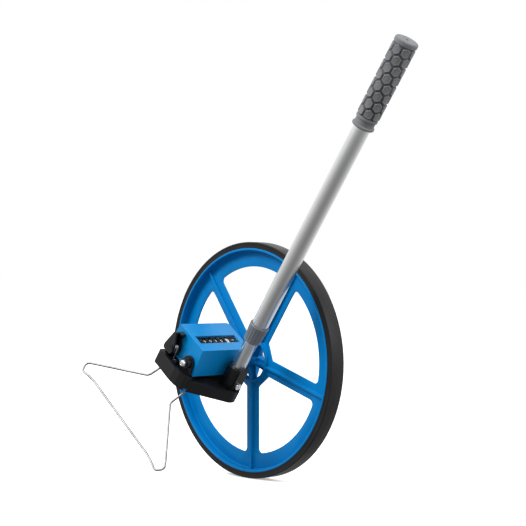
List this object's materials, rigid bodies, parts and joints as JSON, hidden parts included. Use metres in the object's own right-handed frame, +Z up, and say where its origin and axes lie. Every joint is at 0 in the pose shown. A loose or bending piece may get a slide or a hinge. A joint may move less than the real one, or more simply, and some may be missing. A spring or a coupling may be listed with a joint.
{
  "type": "measuring wheel",
  "caption": "Walk-behind distance measuring wheel: spoked wheel with rubber tyre, axle-driven drum counter in a cradle, telescopic handle with twist lock and folding wire stand",
  "frame": {"origin": "Point where the tyre touches the ground, below the wheel's centre, in the wheel's middle plane", "axes": "+Z up with the wheel upright, +X towards the user (the way the handle leans), +Y along the axle from the counter to the wheel"},
  "size_m": [0.4912, 0.1974, 0.5501],
  "materials": {
    "tyre": "satin moulded rubber",
    "wheel_blue": "semi-gloss moulded plastic",
    "axle_steel": "zinc-plated, slightly dull",
    "black_plastic": "fine moulded texture",
    "gear_plastic": "natural acetal",
    "bright_fastener": "bright zinc plating",
    "black_screw": "black oxide",
    "anodised_tube": "satin silver anodised",
    "collar_grey": "moulded grey plastic",
    "grip_rubber": "matt grey moulded rubber",
    "counter_blue": "satin moulded plastic",
    "clear_lens": "clear moulded window",
    "chassis_steel": "folded plated sheet",
    "drum_black": "black with white figures",
    "drum_white": "white with dark figures",
    "stand_chrome": "bright plated wire"
  },
  "bodies": {
    "carrier": {"frame": "black_plastic", "axle_bushes": "black_plastic", "socket_bolt": "bright_fastener", "lower_tube": "anodised_tube", "tube_plug": "black_plastic", "counter_base": "black_plastic", "counter_housing": "counter_blue", "window_lens": "clear_lens", "window_mask": "black_plastic", "counter_chassis": "chassis_steel", "drum_shaft": "axle_steel", "pinion_shaft": "axle_steel", "reset_spring": "bright_fastener", "anchor_screw": "bright_fastener", "housing_screws": "bright_fastener", "chassis_screws": "bright_fastener"},
    "wheel_set": {"tyre": "tyre", "wheel": "wheel_blue", "axle": "axle_steel", "axle_washers": "black_plastic", "axle_nut": "axle_steel", "drive_gear": "gear_plastic"},
    "handle": {"upper_tube": "anodised_tube", "clamp_ferrule": "black_plastic", "grip": "grip_rubber"},
    "collar": {"twist_collar": "collar_grey"},
    "reset": {"reset_shaft": "axle_steel", "reset_comb": "gear_plastic", "reset_lever": "black_plastic", "lever_screw": "black_screw"},
    "stand": {"stand_wire": "stand_chrome"},
    "drum_1": {"digit_drum_1": "drum_black"},
    "drum_2": {"digit_drum_2": "drum_black"},
    "drum_3": {"digit_drum_3": "drum_black"},
    "drum_4": {"digit_drum_4": "drum_black"},
    "drum_5": {"digit_drum_5": "drum_white"},
    "pinion_1": {"carry_pinion_1": "gear_plastic"},
    "pinion_2": {"carry_pinion_2": "gear_plastic"},
    "pinion_3": {"carry_pinion_3": "gear_plastic"},
    "pinion_4": {"carry_pinion_4": "gear_plastic"}
  },
  "joints": [
    {"name": "wheel_spin", "type": "hinge", "parent": "carrier", "child": "wheel_set", "pos_m": [0, 0, 0.15915], "axis": [0, 1, 0], "continuous": true},
    {"name": "handle_slide", "type": "slide", "parent": "carrier", "child": "handle", "axis": [0.6004, 0, 0.7997], "range_m": [0, 0.35]},
    {"name": "collar_twist", "type": "hinge", "parent": "handle", "child": "collar", "pos_m": [0.06302, -0.053, 0.19812], "axis": [0.6004, 0, 0.7997], "range_deg": [0, 60]},
    {"name": "reset_press", "type": "hinge", "parent": "carrier", "child": "reset", "pos_m": [-0.02139, -0.118, 0.17897], "axis": [0, 1, 0], "range_deg": [0, 25], "stiffness_Nm_per_rad": 0.03, "springref_deg": -14.32},
    {"name": "stand_fold", "type": "hinge", "parent": "carrier", "child": "stand", "pos_m": [-0.02561, -0.105, 0.14337], "axis": [0.7997, 0, -0.6004], "range_deg": [0, 105]},
    {"name": "drum_1_spin", "type": "hinge", "parent": "carrier", "child": "drum_1", "pos_m": [-0.00138, -0.0907, 0.1773], "axis": [0, 1, 0], "continuous": true},
    {"name": "drum_2_spin", "type": "hinge", "parent": "carrier", "child": "drum_2", "pos_m": [-0.00138, -0.0811, 0.1773], "axis": [0, 1, 0], "continuous": true},
    {"name": "drum_3_spin", "type": "hinge", "parent": "carrier", "child": "drum_3", "pos_m": [-0.00138, -0.0715, 0.1773], "axis": [0, 1, 0], "continuous": true},
    {"name": "drum_4_spin", "type": "hinge", "parent": "carrier", "child": "drum_4", "pos_m": [-0.00138, -0.0619, 0.1773], "axis": [0, 1, 0], "continuous": true},
    {"name": "drum_5_spin", "type": "hinge", "parent": "carrier", "child": "drum_5", "pos_m": [-0.00138, -0.0523, 0.1773], "axis": [0, 1, 0], "continuous": true},
    {"name": "pinion_1_spin", "type": "hinge", "parent": "carrier", "child": "pinion_1", "pos_m": [-0.01168, -0.0861, 0.18504], "axis": [0, 1, 0], "continuous": true},
    {"name": "pinion_2_spin", "type": "hinge", "parent": "carrier", "child": "pinion_2", "pos_m": [-0.01168, -0.0765, 0.18504], "axis": [0, 1, 0], "continuous": true},
    {"name": "pinion_3_spin", "type": "hinge", "parent": "carrier", "child": "pinion_3", "pos_m": [-0.01168, -0.0669, 0.18504], "axis": [0, 1, 0], "continuous": true},
    {"name": "pinion_4_spin", "type": "hinge", "parent": "carrier", "child": "pinion_4", "pos_m": [-0.01168, -0.0573, 0.18504], "axis": [0, 1, 0], "continuous": true}
  ],
  "couplings": [
    {"joint": "drum_1_spin", "follows": "wheel_spin", "ratio": -0.0001},
    {"joint": "drum_2_spin", "follows": "wheel_spin", "ratio": -0.001},
    {"joint": "drum_3_spin", "follows": "wheel_spin", "ratio": -0.01},
    {"joint": "drum_4_spin", "follows": "wheel_spin", "ratio": -0.1},
    {"joint": "drum_5_spin", "follows": "wheel_spin", "ratio": -1},
    {"joint": "pinion_1_spin", "follows": "wheel_spin", "ratio": 0.00025},
    {"joint": "pinion_2_spin", "follows": "wheel_spin", "ratio": 0.0025},
    {"joint": "pinion_3_spin", "follows": "wheel_spin", "ratio": 0.025},
    {"joint": "pinion_4_spin", "follows": "wheel_spin", "ratio": 0.25}
  ]
}
